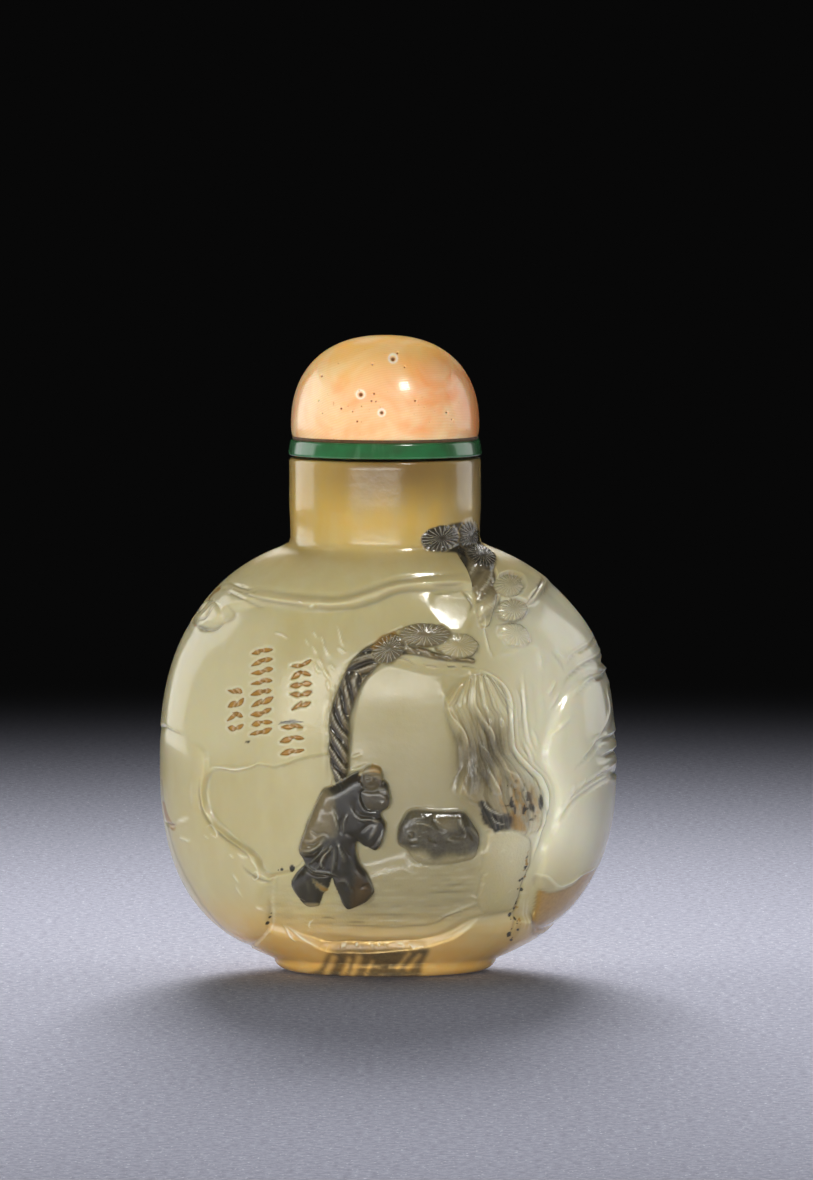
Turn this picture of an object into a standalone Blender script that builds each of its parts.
"""A carved agate snuff bottle with a domed coral stopper on a green stone collar.

The bottle stands on its flat oval foot with the origin under its middle, +Z up, and its carved
face looks along -Y. Sizes and the carving's drawing are in millimetres, and meshes are made in
metres. The drawing of the face gives each place as (across, up): across from the bottle's
middle line and up from the table.
"""

import math

import bmesh
import bpy
import numpy as np

MM = 0.001

# Outer form of the bottle
BODY_HALF_WIDTH = 25.8
BODY_HALF_DEPTH = 16.5
WIDEST_UP = 24.0
SHOULDER_TOP = 49.6
BELLY_BOTTOM = 0.1
NECK_RADIUS = 10.75
NECK_TOP = 57.8
NECK_FILLET = 1.2
LIP_BEVEL = 0.3
FOOT_HALF_WIDTH = 9.8
FOOT_HALF_DEPTH = 7.0
FOOT_ROUND_HEIGHT = 1.5
FOOT_ROUND_WIDTH = 2.7
FOOT_ROUND_DEPTH = 2.3
LEAN = 0.35  # how far the body's middle stands right of the neck and foot

# How square the body's curves are: 2 is an ellipse, and more is squarer
FRONT_CURVE_ABOVE = 2.4
FRONT_CURVE_BELOW = 2.6
SIDE_CURVE_ABOVE = 3.5
SIDE_CURVE_BELOW = 3.0

# Hollow
WALL = 3.5
FLOOR = 5.0
SHOULDER_WALL = 4.0
BORE_RADIUS = 3.6
BORE_FILLET = 2.0

# Stopper
GAP = 0.3
COLLAR_RADIUS = 10.9
COLLAR_TOP_RADIUS = 10.6
COLLAR_THICKNESS = 1.8
COLLAR_ROUND = 0.35
DOME_RADIUS = 10.55
DOME_BASE_RADIUS = 10.4
DOME_BELLY_UP = 1.15
DOME_HEIGHT = 11.3
DOME_CURVE = 2.3
CORK_LENGTH = 5.6
CORK_TAPER = 0.35

# The board that the carving is drawn on, which is stretched over the face
BOARD_WIDTH = 51.6
BOARD_HEIGHT = 57.8

# Levels of the carving, in millimetres above the polished skin
SKY = -0.75
GROTTO = -1.25
PANEL = -0.85
GROUND = -0.7
SPRAY = 0.45

# Mesh
FRONT_COLUMNS = 170
BACK_COLUMNS = 60
RINGS = 128
BOTTLE_TRIANGLES = 7300
CAVITY_COLUMNS = 32
CAVITY_RINGS = 16
CAVITY_TIP = 0.02
OVER_LIP = 1.0
TURNED_STEPS = 40


def clear_scene():
    for thing in list(bpy.data.objects):
        bpy.data.objects.remove(thing, do_unlink=True)


def stone(name, colour, roughness, clear=0.0):
    material = bpy.data.materials.new(name)
    material.use_nodes = True
    shader = material.node_tree.nodes["Principled BSDF"]
    shader.inputs["Base Color"].default_value = (*colour, 1.0)
    shader.inputs["Roughness"].default_value = roughness
    shader.inputs["Metallic"].default_value = 0.0
    shader.inputs["Transmission Weight"].default_value = clear
    material.diffuse_color = (*colour, 1.0)
    return material


def add_object(name, mesh, material):
    piece = bpy.data.objects.new(name, mesh)
    bpy.context.scene.collection.objects.link(piece)
    mesh.materials.append(material)
    return piece


def share_of_half(up, middle, top, bottom, curve_above, curve_below):
    """How wide a rounded body is at a height, as a share of its widest."""
    above = up > middle
    reach = np.where(above, top - middle, middle - bottom)
    curve = np.where(above, curve_above, curve_below)
    away = np.clip(np.abs(up - middle) / reach, 0.0, 1.0)
    return (1 - away ** curve) ** (1 / curve)


def oval_radius(angle, half_width, half_depth):
    """Radius of an oval section at an angle from the front."""
    narrow = 1e-6
    across = np.sin(angle) / np.maximum(half_width, narrow)
    deep = np.cos(angle) / np.maximum(half_depth, narrow)
    return 1 / np.hypot(across, deep)


def joined(one, other, fillet):
    """The larger of two radii, with a fillet where they meet."""
    near = np.maximum(fillet - np.abs(one - other), 0.0) / fillet
    return np.maximum(one, other) + near**2 * fillet / 4


def outer_radius(angle, up):
    """Radius of the polished outer form at an angle from the front and a height."""
    wide = share_of_half(up, WIDEST_UP, SHOULDER_TOP, BELLY_BOTTOM, FRONT_CURVE_ABOVE, FRONT_CURVE_BELOW)
    deep = share_of_half(up, WIDEST_UP, SHOULDER_TOP, BELLY_BOTTOM, SIDE_CURVE_ABOVE, SIDE_CURVE_BELOW)
    body = oval_radius(angle, BODY_HALF_WIDTH * wide, BODY_HALF_DEPTH * deep)
    turn = np.clip(1 - up / FOOT_ROUND_HEIGHT, 0.0, 1.0)
    swell = np.sqrt(1 - turn**2)
    foot = oval_radius(
        angle, FOOT_HALF_WIDTH + FOOT_ROUND_WIDTH * swell, FOOT_HALF_DEPTH + FOOT_ROUND_DEPTH * swell
    )
    return np.where(up > WIDEST_UP, joined(body, NECK_RADIUS, NECK_FILLET), np.maximum(body, foot))


def lean(up):
    """How far to the right the hand-cut body sits at a height. The neck and the foot are true."""
    return LEAN * ease((up - 4) / 14) * ease((50 - up) / 12)


def cavity_radius(angle, up):
    """Radius of the hollow, with the bore running up through the neck."""
    roof = SHOULDER_TOP - SHOULDER_WALL
    wide = share_of_half(up, WIDEST_UP, roof, FLOOR, FRONT_CURVE_ABOVE, FRONT_CURVE_BELOW)
    deep = share_of_half(up, WIDEST_UP, roof, FLOOR, SIDE_CURVE_ABOVE, SIDE_CURVE_BELOW)
    room = oval_radius(angle, (BODY_HALF_WIDTH - WALL) * wide, (BODY_HALF_DEPTH - WALL) * deep)
    return np.where(up > WIDEST_UP, joined(room, BORE_RADIUS, BORE_FILLET), room)


def curve(points, closed=False, between=4):
    """Places along a smooth line through the given ones. A third number is the line's half width."""
    base = np.array(points, float)
    if closed:
        before, start = np.roll(base, 1, 0), base
        after, further = np.roll(base, -1, 0), np.roll(base, -2, 0)
    else:
        before = np.vstack([2 * base[0] - base[1], base[:-2]])
        start, after = base[:-1], base[1:]
        further = np.vstack([base[2:], 2 * base[-1] - base[-2]])
    step = np.linspace(0, 1, between, endpoint=False)[:, None, None]
    line = start + 0.5 * (after - before) * step
    line = line + (before - 2.5 * start + 2 * after - 0.5 * further) * step**2
    line = line + 0.5 * (3 * start - before - 3 * after + further) * step**3
    line = line.transpose(1, 0, 2).reshape(-1, base.shape[1])
    return np.vstack([line, base[:1] if closed else base[-1:]])


def line_gap(place, line):
    """Distance from each place to a line, less the line's half width where it has one."""
    nearest = np.full(len(place), np.inf)
    for start, end in zip(line[:-1], line[1:]):
        run = end[:2] - start[:2]
        along = np.clip((place - start[:2]) @ run / max(run @ run, 1e-9), 0, 1)
        gap = np.linalg.norm(place - start[:2] - along[:, None] * run, axis=1)
        if len(start) > 2:
            gap = gap - (start[2] + along * (end[2] - start[2]))
        nearest = np.minimum(nearest, gap)
    return nearest


def outline_gap(place, points):
    """Distance from each place to a smooth closed outline, less than nothing inside it."""
    line = curve(points, closed=True)
    inside = np.zeros(len(place), bool)
    for start, end in zip(line[:-1], line[1:]):
        spans = (start[1] > place[:, 1]) != (end[1] > place[:, 1])
        slope = (end[0] - start[0]) / ((end[1] - start[1]) or 1e-9)
        inside ^= spans & (place[:, 0] < start[0] + (place[:, 1] - start[1]) * slope)
    gap = line_gap(place, line)
    return np.where(inside, -gap, gap)


def ease(share):
    share = np.clip(share, 0, 1)
    return share * share * (3 - 2 * share)


def lay(depth, gap, level, edge=0.5):
    """Lays a form of its own level over the carving, with an edge so wide."""
    return depth + (level - depth) * ease(0.5 - gap / edge)


def pillow(gap, low, high, reach):
    """A level that swells from the rim of a form to its middle."""
    away = 1 - np.clip(-gap / reach, 0, 1)
    return low + (high - low) * np.sqrt(1 - away**2)


def ridge(place, points, height, half_width):
    """A soft line raised, or cut where its height is less than nothing."""
    return height * np.exp(-((line_gap(place, curve(points)) / half_width) ** 2))


def fan(depth, place, middle, half_width, half_height, level, flutes=12, turn=0.0):
    """A spray of pine needles: a low dome with flutes that run out from its middle."""
    across = (place[:, 0] - middle[0]) * math.cos(turn) + (place[:, 1] - middle[1]) * math.sin(turn)
    up = (place[:, 1] - middle[1]) * math.cos(turn) - (place[:, 0] - middle[0]) * math.sin(turn)
    out = np.hypot(across / half_width, up / half_height)
    flute = np.cos(flutes * np.arctan2(up / half_height, across / half_width))
    dome = level + 0.35 * (1 - out**2) + 0.12 * flute * np.clip(out, 0, 1)
    return lay(depth, (out - 1) * min(half_width, half_height), dome)


def pine_trunk(depth, place, points, level, bark_pitch=2.2, bark_slant=0.9):
    """A round trunk with bark that winds round it."""
    gap = line_gap(place, curve(points))
    bark = np.cos(2 * math.pi * (place[:, 1] + bark_slant * place[:, 0]) / bark_pitch)
    return lay(depth, gap, pillow(gap, level - 0.5, level, 1.0) + 0.12 * (bark - 1))


def scene_field(depth, place):
    """The sunk ground of the picture, from the rock ledge under the neck down to the base."""
    field = [
        (-27, 38), (-21.5, 39.3), (-17.5, 41.5), (-13.7, 42.3), (-9.4, 42.1), (-4.4, 42.2), (-1.1, 43.0),
        (1.7, 44.1), (5.0, 44.4), (8.9, 44.5), (12.2, 43.6), (16.2, 42.4), (19.2, 44.1), (24, 42), (28, 36),
        (28, 14), (20, 6.8), (14.6, 6.7), (10.9, 6.5), (9.2, 6.0), (7.4, 4.9), (3.9, 3.9), (-1.1, 3.4),
        (-6.2, 3.4), (-9.5, 4.7), (-13.7, 5.9), (-20, 9), (-27, 16),
    ]
    fade_from, fade_over = 19.0, 6.0
    middle = 1 - ease((np.abs(place[:, 0]) - fade_from) / fade_over)
    depth = lay(depth, outline_gap(place, field), SKY * middle, edge=0.9)
    ledge = [(-19.5, 44.3), (-15.6, 42.8), (-9.4, 42.5), (-4.4, 42.7), (1.7, 44.6), (8.9, 45.0)]
    return depth + ridge(place, [(x, up + 1.4) for x, up in ledge], -0.3, 0.7)


def left_side(depth, place):
    """Scroll of cloud on the shoulder, plain rock panel and the rocks under it."""
    for middle, size in (((-20.6, 41.4), 1.7), ((-19.4, 43.4), 1.0)):
        gap = np.hypot(place[:, 0] - middle[0], place[:, 1] - middle[1]) - size
        depth = lay(depth, gap, pillow(gap, -0.3, 0.0, size) + 0.15 * np.cos(gap * 7.0))
    panel = [
        (-19.8, 24.1), (-17.0, 23.4), (-14.9, 24.1), (-12.5, 24.0), (-9.9, 25.2), (-6.0, 25.8), (-6.2, 22.0),
        (-8.1, 19.0), (-9.0, 14.0), (-10.3, 12.2), (-12.5, 11.7), (-15.2, 13.5), (-18.8, 16.8), (-20.4, 20.5),
    ]
    depth = lay(depth, outline_gap(place, panel), PANEL, edge=0.6)
    rocks = [
        (-28, 26.6), (-20.8, 26.8), (-20.4, 20.0), (-19.0, 17.0), (-16.5, 14.7), (-15.0, 13.1), (-13.4, 11.7),
        (-12.5, 11.0), (-12.5, 7.5), (-13.4, 4.7), (-17.1, 2.6), (-28, 6),
    ]
    gap = outline_gap(place, rocks)
    depth = lay(depth, gap, pillow(gap, -0.35, 0.0, 1.6), edge=0.6)
    return depth + ridge(place, [(-27, 17.6), (-23, 18.4), (-19.6, 17.2)], -0.35, 0.5)


def ground(depth, place):
    """Level ground with low waves, and the lens of water at its foot."""
    shape = [(-12.4, 10.5), (-3, 7.5), (2, 14.4), (12, 15), (16.5, 10), (14, 6.4), (7.4, 5), (-1, 3.5), (-12.5, 5.5)]
    waves = 0.1 * np.cos(2 * math.pi * place[:, 1] / 2.4)
    depth = lay(depth, outline_gap(place, shape), GROUND + waves, edge=1.2)
    bank = [(-11.5, 5.9), (-6.2, 5.2), (0, 5.0), (6.2, 5.6), (12.8, 7.4)]
    return depth + ridge(place, bank, 0.35, 0.6)


def cliff(depth, place):
    """The folded cliff on the right of the grotto, with the round boulder under it."""
    face = [
        (7.4, 32.7), (7.3, 30.3), (8.9, 27.1), (9.2, 24.6), (8.4, 21.5), (10.9, 20.1), (11.5, 18.5), (12.4, 17.1),
        (16.1, 16.6), (18.0, 17.5), (18.5, 19.6), (17.5, 22.7), (14.9, 25.6), (14.6, 30.5), (13.3, 33.7), (10.5, 34.9),
    ]
    gap = outline_gap(place, face)
    depth = lay(depth, gap, pillow(gap, -0.8, -0.45, 1.2), edge=0.8)
    folds = (
        [(7.4, 31.5), (8.7, 28.4), (9.3, 26.5), (9.2, 24.3), (8.3, 21.6)],
        [(10.3, 31.0), (11.7, 28.2), (12.5, 26.6)],
        [(9.0, 31.6), (9.9, 28.0), (11.8, 25.7), (12.9, 22.8), (13.7, 20.0)],
        [(11.2, 24.4), (12.4, 21.9), (13.1, 18.6)],
        [(13.7, 23.8), (14.9, 22.7), (15.6, 21.0), (16.2, 18.4)],
    )
    for fold in folds:
        depth = depth + ridge(place, fold, 0.32, 0.4)
    brow = [
        (11.4, 35.1), (13.3, 33.7), (14.1, 32.0), (14.4, 29.9), (14.4, 26.9), (14.9, 25.6), (16.2, 24.2),
        (17.6, 22.7), (18.4, 21.2), (18.5, 19.6), (18.2, 17.6), (17.5, 15.6), (16.6, 13.8), (16.4, 12.2),
    ]
    depth = depth + ridge(place, brow, 0.6, 0.45)
    boulder = [(12.4, 17.0), (14.5, 17.1), (16.2, 15.7), (16.4, 12.0), (14.9, 8.0), (12.0, 6.2), (10.9, 9.0), (11.2, 14.5)]
    gap = outline_gap(place, boulder)
    return lay(depth, gap, pillow(gap, -0.6, -0.1, 2.6))


def leaf(depth, place):
    """The tall fluted rock at the right edge, which runs on round the side."""
    shape = [
        (17.6, 12.6), (17.9, 15.0), (19.2, 17.1), (19.4, 21.2), (18.1, 24.6), (18.5, 28.0), (20.1, 31.2), (23.1, 34.1),
        (28, 33), (31, 28), (31, 18), (29, 9), (24, 6.5), (17.2, 5.0),
    ]
    gap = outline_gap(place, shape)
    depth = lay(depth, gap, pillow(gap, -0.55, -0.1, 2.0), edge=0.8)
    flutes = (
        [(18.2, 13.5), (20.1, 16.6), (22.1, 19.6), (24.2, 21.7), (27.4, 23.1)],
        [(18.9, 26.6), (20.1, 28.9), (21.4, 30.1), (23.1, 30.9), (26.8, 31.7)],
        [(19.4, 22.9), (22.1, 25.2), (23.9, 26.6), (25.9, 27.6)],
    )
    for flute in flutes:
        depth = depth + ridge(place, flute, -0.4, 0.5)
    for notch in (31.4, 26.4, 24.4):
        depth = depth + ridge(place, [(23.5, notch - 2.2), (26.0, notch - 0.6), (28.5, notch)], -0.45, 0.4)
    return depth


def old_pines(depth, place):
    """The leaning pine that frames the grotto, the tall pine behind it, and their needles."""
    high_trunk = [
        (10.3, 47.4, 1.8), (10.5, 44.8, 1.9), (11.0, 42.6, 1.9), (11.2, 40.5, 1.6), (11.4, 38.2, 1.2), (12.1, 36.0, 0.8),
    ]
    depth = pine_trunk(depth, place, high_trunk, -0.1)
    for middle, wide, tall in (
        ((14.8, 43.7), 2.2, 1.5), ((14.4, 41.6), 1.9, 1.3), ((13.9, 39.4), 1.7, 1.1),
    ):
        depth = fan(depth, place, middle, wide, tall, -0.45)
    depth = lay(depth, line_gap(place, curve([(12.2, 36.5, 0.5), (17.0, 37.5, 0.4), (19.5, 35.0, 0.3)])), -0.45)
    arch = [
        (-5.7, 22.7, 0.5), (-5.6, 24.5, 1.0), (-5.1, 26.7, 1.4), (-5.2, 29.2, 1.2), (-4.9, 31.4, 1.2), (-4.3, 33.3, 1.3),
        (-3.4, 35.1, 1.35), (-1.9, 36.5, 1.2), (0.3, 37.5, 1.0), (3.0, 37.3, 0.8), (6.1, 36.6, 0.65), (9.8, 35.8, 0.5),
    ]
    depth = pine_trunk(depth, place, arch, 0.0)
    lip = [(0.1, 36.5), (3.9, 35.8), (8.7, 35.4), (12.3, 34.4), (14.6, 32.4)]
    depth = depth + ridge(place, lip, 0.3, 0.35)
    for middle, wide, tall, level, turn in (
        ((8.4, 37.8), 2.3, 1.2, -0.35, -0.1),
        ((-0.2, 37.9), 2.0, 1.0, -0.2, 0.5),
        ((0.2, 38.8), 2.3, 0.9, -0.2, 0.45),
        ((4.3, 39.0), 3.0, 1.4, -0.25, 0.0),
    ):
        depth = fan(depth, place, middle, wide, tall, level, turn=turn)
    for middle, wide, tall in (((9.0, 49.2), 2.3, 1.5), ((5.9, 49.2), 2.3, 1.5), ((10.7, 47.2), 1.9, 1.4)):
        depth = fan(depth, place, middle, wide, tall, SPRAY - 0.35)
    return depth


def toad(depth, place):
    """The crouching toad on the grotto floor."""
    shape = [
        (1.4, 17.1), (1.8, 18.4), (2.9, 19.3), (5.5, 19.5), (7.7, 19.1), (9.3, 18.6), (10.2, 17.6), (10.7, 16.2),
        (10.4, 14.9), (8.3, 14.6), (5.9, 14.5), (4.0, 15.1), (2.8, 15.1), (1.6, 15.8),
    ]
    gap = outline_gap(place, shape)
    depth = lay(depth, gap, pillow(gap, -0.75, -0.1, 1.8))
    depth = depth + ridge(place, [(5.3, 19.4), (5.6, 18.2), (6.4, 17.5), (7.6, 17.6), (8.5, 18.6)], -0.3, 0.3)
    depth = depth + ridge(place, [(4.2, 19.2), (4.4, 17.4), (3.9, 15.6)], -0.3, 0.35)
    return depth + ridge(place, [(2.8, 16.8), (2.9, 16.9)], 0.35, 0.45)


def figure(depth, place):
    """The standing figure in a wide robe with a bundle at the shoulder."""
    bundle = [(-2.3, 21.8), (-0.1, 21.9), (0.7, 20.7), (-0.1, 19.4), (-1.7, 19.4), (-2.6, 20.4)]
    robe = [
        (-6.2, 22.2), (-4.0, 23.2), (-2.6, 22.6), (-1.8, 20.6), (-0.6, 19.3), (0.0, 18.1), (-0.4, 15.6), (-1.1, 14.9),
        (-2.9, 15.2), (-3.0, 13.7), (-1.5, 11.2), (-1.2, 10.0), (-2.1, 8.6), (-3.9, 7.9), (-4.8, 8.5), (-5.6, 10.7),
        (-6.1, 12.0), (-6.5, 10.2), (-7.3, 8.6), (-8.7, 8.1), (-10.1, 9.1), (-10.6, 10.9), (-9.5, 13.6), (-9.8, 14.9),
        (-9.3, 17.2), (-8.1, 20.0),
    ]
    folds = (
        [(-9.6, 16.0), (-8.2, 15.8), (-6.9, 16.6), (-6.2, 17.6)],
        [(-9.6, 14.5), (-8.0, 14.3), (-6.5, 15.2)],
        [(-8.4, 13.6), (-7.4, 12.4), (-6.0, 11.9)],
        [(-6.0, 20.0), (-5.6, 17.8), (-4.9, 15.6), (-4.4, 13.6)],
        [(-3.6, 20.2), (-3.1, 18.8), (-2.2, 18.1), (-1.3, 18.1)],
        [(-0.4, 17.8), (-1.0, 16.4), (-2.2, 15.4)],
        [(-5.9, 13.2), (-5.7, 12.3), (-5.2, 11.4)],
    )
    gap = outline_gap(place, bundle)
    depth = lay(depth, gap, pillow(gap, -0.75, -0.2, 1.0))
    gap = outline_gap(place, robe)
    depth = lay(depth, gap, pillow(gap, -0.6, 0.0, 1.8), edge=0.45)
    for fold in folds:
        depth = depth + ridge(place, fold, -0.3, 0.3)
    head = np.hypot(place[:, 0] + 1.5, (place[:, 1] - 23.2) / 1.15) - 1.35
    depth = lay(depth, head, pillow(head, -0.5, 0.05, 1.3))
    return depth + ridge(place, [(-3.4, 23.8), (-2.2, 24.1), (-0.6, 24.0)], 0.2, 0.35)


def front_carving(place):
    depth = scene_field(np.zeros(len(place)), place)
    depth = left_side(depth, place)
    grotto = [
        (-4.3, 25.3), (-4.0, 29.4), (-3.4, 32.3), (-2.2, 34.7), (0.2, 36.3), (2.5, 36.0), (5.9, 35.3), (9.4, 35.0),
        (7.6, 32.7), (7.5, 30.3), (9.1, 27.1), (9.4, 24.6), (8.5, 21.5), (11.5, 17), (8, 13.4), (0, 12.5), (-4, 17),
    ]
    depth = lay(depth, outline_gap(place, grotto), GROTTO, edge=1.4)
    for step in (ground, leaf, cliff, old_pines, toad, figure):
        depth = step(depth, place)
    return depth


def back_carving(place):
    """The plainer back: low rocks along the bottom, one pine spray and a ledge over a bare field."""
    field = [
        (-26, 37), (-15, 42.2), (-6, 43.6), (5, 43.2), (15, 42.0), (26, 37), (25, 20), (18, 15), (8, 12.5),
        (-4, 9.5), (-14, 8.8), (-24, 15),
    ]
    fade_from, fade_over = 18.0, 6.0
    middle = 1 - ease((np.abs(place[:, 0]) - fade_from) / fade_over)
    depth = lay(np.zeros(len(place)), outline_gap(place, field), -0.55 * middle, edge=1.2)
    for rock in (
        [(10, 8), (14, 20), (17, 27), (20, 24), (22, 12), (16, 6)],
        [(2, 6), (6, 15), (10, 17.5), (13, 13), (11, 6.5)],
        [(-13, 6.5), (-10, 12.5), (-5, 13.5), (-2, 9), (-6, 6)],
    ):
        gap = outline_gap(place, rock)
        depth = lay(depth, gap, pillow(gap, -0.45, 0.0, 2.0), edge=0.8)
    branch = [(20.5, 34.5, 0.9), (17, 36.5, 0.8), (13.5, 36.9, 0.6), (10.0, 35.8, 0.4)]
    depth = pine_trunk(depth, place, branch, -0.1)
    for middle, wide, tall in (((16.5, 38.8), 2.6, 1.4), ((12.4, 38.4), 2.4, 1.3), ((9.6, 36.6), 2.2, 1.2)):
        depth = fan(depth, place, middle, wide, tall, -0.35)
    return depth


def layout_across(x, y):
    """Distance across the board of each point of a ring that runs from the front to the back.

    It is the point's own x near the middle, and half the way along the surface where that turns away.
    """
    run = np.hypot(np.diff(x), np.diff(y))
    step = np.maximum(np.abs(np.diff(x)), 0.5 * run)
    return np.concatenate([[0.0], np.cumsum(step)])


def column_angles():
    """Angles of the mesh's columns from the front, evenly spaced along the widest section."""
    fine = np.linspace(0, math.pi / 2, 400)
    radius = oval_radius(fine, BODY_HALF_WIDTH, BODY_HALF_DEPTH)
    run = np.hypot(np.diff(radius * np.sin(fine)), np.diff(radius * np.cos(fine)))
    way = np.concatenate([[0.0], np.cumsum(run)])
    front = np.interp(np.linspace(0, way[-1], FRONT_COLUMNS // 2 + 1), way, fine)
    back = math.pi - np.interp(np.linspace(way[-1], 0, BACK_COLUMNS // 2 + 1), way, fine)
    half = np.concatenate([front, back[1:]])
    return np.concatenate([half, 2 * math.pi - half[-2:0:-1]])


def ring_heights(radius_at, low, high, count):
    """Heights of the mesh's rings, evenly spaced along the outline seen from the front."""
    fine = np.linspace(low, high, 4000)
    side = radius_at(np.full(len(fine), math.pi / 2), fine)
    way = np.concatenate([[0.0], np.cumsum(np.hypot(np.diff(side), np.diff(fine)))])
    return np.interp(np.linspace(0, way[-1], count), way, fine)


def carving_on(x, y, up):
    """How far each point of the rings is moved out of the polished skin."""
    depth = np.zeros_like(x)
    middle = x.shape[1] // 2
    across = np.zeros_like(x)
    for row in range(len(x)):
        quarter = int(np.argmax(x[row]))
        front = layout_across(x[row, : quarter + 1], y[row, : quarter + 1])
        back = layout_across(x[row, middle : quarter - 1 : -1], y[row, middle : quarter - 1 : -1])
        half = np.concatenate([front, back[:-1][::-1]])
        across[row, : middle + 1] = half
        across[row, middle + 1 :] = -half[middle - 1 : 0 : -1]
    place = np.stack([across * BOARD_WIDTH / (2 * BODY_HALF_WIDTH), up * BOARD_HEIGHT / NECK_TOP], axis=-1)
    flat = place.reshape(-1, 2)
    turn_over = 3.0
    to_front = ease(0.5 - y.reshape(-1) / turn_over)
    mirrored = flat * np.array([-1.0, 1.0])
    depth = to_front * front_carving(flat) + (1 - to_front) * back_carving(mirrored)
    return depth.reshape(x.shape)


def carved_rings():
    """Rings of points of the carved skin, from the foot to a little over the lip."""
    angle = column_angles()
    heights = ring_heights(outer_radius, 0.0, NECK_TOP + OVER_LIP, RINGS)
    angles, up = np.meshgrid(angle, heights)
    radius = outer_radius(angles, up)
    x, y = radius * np.sin(angles), -radius * np.cos(angles)
    points = np.stack([x, y, up], axis=-1)
    around = np.roll(points, -1, axis=1) - np.roll(points, 1, axis=1)
    rising = np.gradient(points, axis=0)
    normal = np.cross(around, rising)
    normal /= np.linalg.norm(normal, axis=-1, keepdims=True)
    depth = carving_on(x, y, up)
    from_foot = ease((up - FOOT_ROUND_HEIGHT) / FOOT_ROUND_HEIGHT)
    points = points + normal * (depth * from_foot)[..., None]
    points[..., 0] += lean(up)
    return points


def ring_mesh(name, rings):
    """A closed mesh through rings of points in millimetres that run up and turn to the right."""
    mesh = bpy.data.meshes.new(name)
    shape = bmesh.new()
    loops = [[shape.verts.new(point * MM) for point in ring] for ring in rings]
    for low, high in zip(loops[:-1], loops[1:]):
        for i in range(len(low)):
            j = (i + 1) % len(low)
            shape.faces.new((low[i], low[j], high[j], high[i]))
    shape.faces.new(reversed(loops[0]))
    shape.faces.new(loops[-1])
    bmesh.ops.recalc_face_normals(shape, faces=shape.faces)
    bmesh.ops.triangulate(shape, faces=shape.faces)
    shape.to_mesh(mesh)
    shape.free()
    return mesh


def settle_foot(mesh, reach):
    """Puts the points that lie within reach of the table on it exactly."""
    for vertex in mesh.vertices:
        if abs(vertex.co.z) < reach:
            vertex.co.z = 0.0


def make_bottle(material):
    mesh = ring_mesh("bottle", carved_rings())
    bottle = add_object("bottle", mesh, material)
    thin = bottle.modifiers.new("thin", "DECIMATE")
    thin.ratio = BOTTLE_TRIANGLES / len(mesh.polygons)
    bpy.context.view_layer.objects.active = bottle
    bpy.ops.object.modifier_apply(modifier="thin")
    settle_foot(bottle.data, reach=0.1 * FOOT_ROUND_HEIGHT * MM)
    bottle.data.shade_smooth()
    bottle.data.set_sharp_from_angle(angle=math.radians(50))
    cutter = make_cavity(material)
    hollow = bottle.modifiers.new("hollow", "BOOLEAN")
    hollow.operation = "DIFFERENCE"
    hollow.object = cutter
    return bottle


def make_cavity(material):
    """The form that is cut out of the bottle: the hollow, the bore and all above the flat lip."""
    angle = np.linspace(0, 2 * math.pi, CAVITY_COLUMNS, endpoint=False)
    heights = ring_heights(cavity_radius, FLOOR + CAVITY_TIP, NECK_TOP, CAVITY_RINGS)
    angles, up = np.meshgrid(angle, heights)
    radius = cavity_radius(angles, up)
    lip = [
        (NECK_RADIUS - LIP_BEVEL, NECK_TOP),
        (NECK_RADIUS + LIP_BEVEL, NECK_TOP - 2 * LIP_BEVEL),
        (NECK_RADIUS + OVER_LIP, NECK_TOP - 2 * LIP_BEVEL),
        (NECK_RADIUS + OVER_LIP, NECK_TOP + 2 * OVER_LIP),
    ]
    radius = np.vstack([radius, [np.full(CAVITY_COLUMNS, width) for width, _ in lip]])
    up = np.vstack([up, [np.full(CAVITY_COLUMNS, height) for _, height in lip]])
    angles = np.vstack([angles, [angle] * len(lip)])
    rings = np.stack([radius * np.sin(angles), -radius * np.cos(angles), up], axis=-1)
    cutter = add_object("cavity", ring_mesh("cavity", rings), material)
    cutter.hide_render = True
    cutter.display_type = "WIRE"
    return cutter


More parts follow.
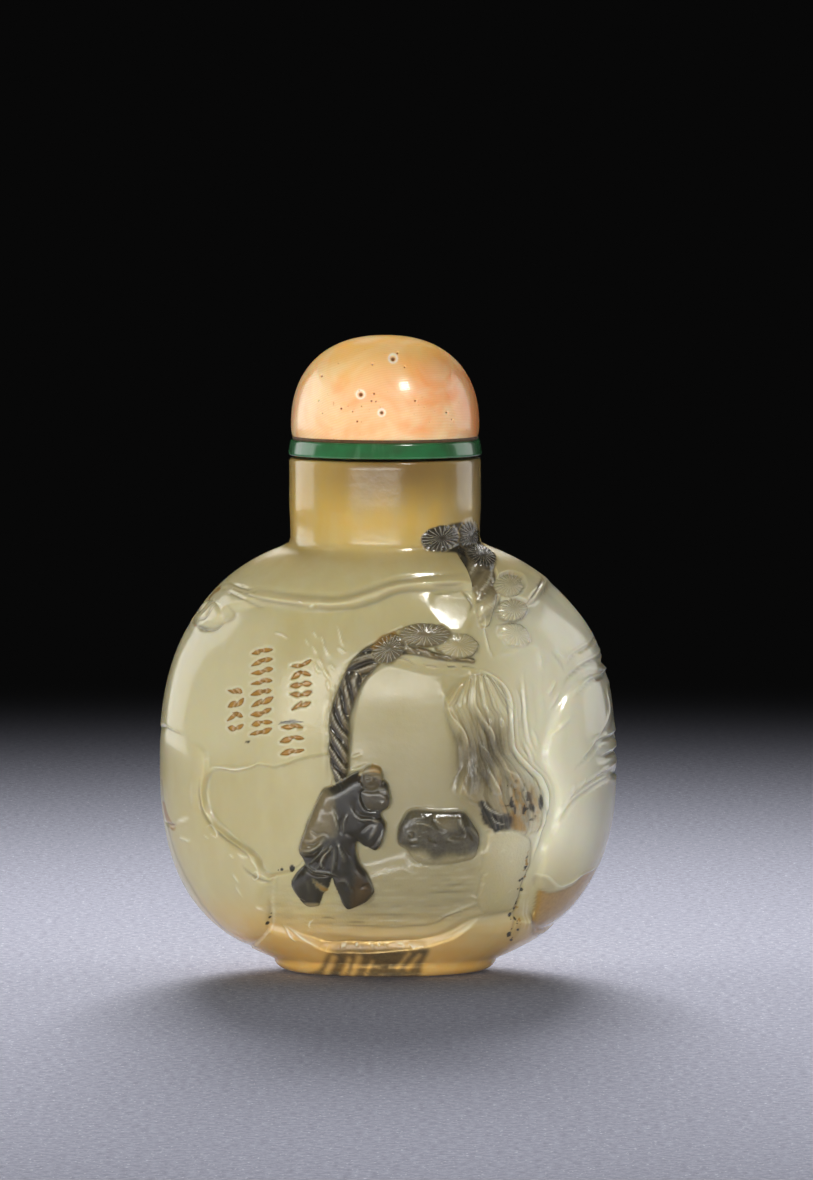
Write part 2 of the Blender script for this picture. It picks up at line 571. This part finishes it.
def turned(name, profile, material):
    """A solid turned about the bottle's axis from (radius, up) points that run upwards."""
    angle = np.linspace(0, 2 * math.pi, TURNED_STEPS, endpoint=False)
    rings = [
        np.stack([radius * np.sin(angle), -radius * np.cos(angle), np.full(len(angle), up)], axis=-1)
        for radius, up in profile
    ]
    piece = add_object(name, ring_mesh(name, rings), material)
    piece.data.shade_smooth()
    piece.data.set_sharp_from_angle(angle=math.radians(40))
    return piece


def make_collar(material):
    low = NECK_TOP + GAP
    high = low + COLLAR_THICKNESS
    profile = [
        (COLLAR_RADIUS - COLLAR_ROUND, low),
        (COLLAR_RADIUS, low + COLLAR_ROUND),
        (COLLAR_TOP_RADIUS, high - COLLAR_ROUND),
        (COLLAR_TOP_RADIUS - COLLAR_ROUND, high),
    ]
    return turned("stopper_collar", profile, material)


def make_dome(material):
    """The dome: a short flare under its widest ring, and a rounded top."""
    low = NECK_TOP + GAP + COLLAR_THICKNESS + GAP
    rise = DOME_HEIGHT - DOME_BELLY_UP
    profile = [(DOME_BASE_RADIUS, low), (DOME_RADIUS, low + DOME_BELLY_UP)]
    for turn in np.linspace(0, math.pi / 2, 12)[1:-1]:
        radius = DOME_RADIUS * math.cos(turn) ** (2 / DOME_CURVE)
        profile.append((radius, low + DOME_BELLY_UP + rise * math.sin(turn) ** (2 / DOME_CURVE)))
    tip_radius = 0.06 * DOME_RADIUS
    profile.append((tip_radius, low + DOME_HEIGHT))
    return turned("stopper_dome", profile, material)


def make_cork(material):
    """The plug under the collar, a little looser than the bore and tapered."""
    high = NECK_TOP
    radius = BORE_RADIUS - GAP
    profile = [(radius - CORK_TAPER, high - CORK_LENGTH), (radius, high)]
    return turned("stopper_cork", profile, material)


def main():
    clear_scene()
    agate = stone("honey_agate", (0.48, 0.43, 0.29), 0.15, clear=0.3)
    coral = stone("pale_coral", (0.95, 0.62, 0.34), 0.2)
    green = stone("green_stone", (0.08, 0.17, 0.07), 0.25)
    bark = stone("cork", (0.30, 0.19, 0.11), 0.85)
    make_bottle(agate)
    make_collar(green)
    make_dome(coral)
    make_cork(bark)


main()
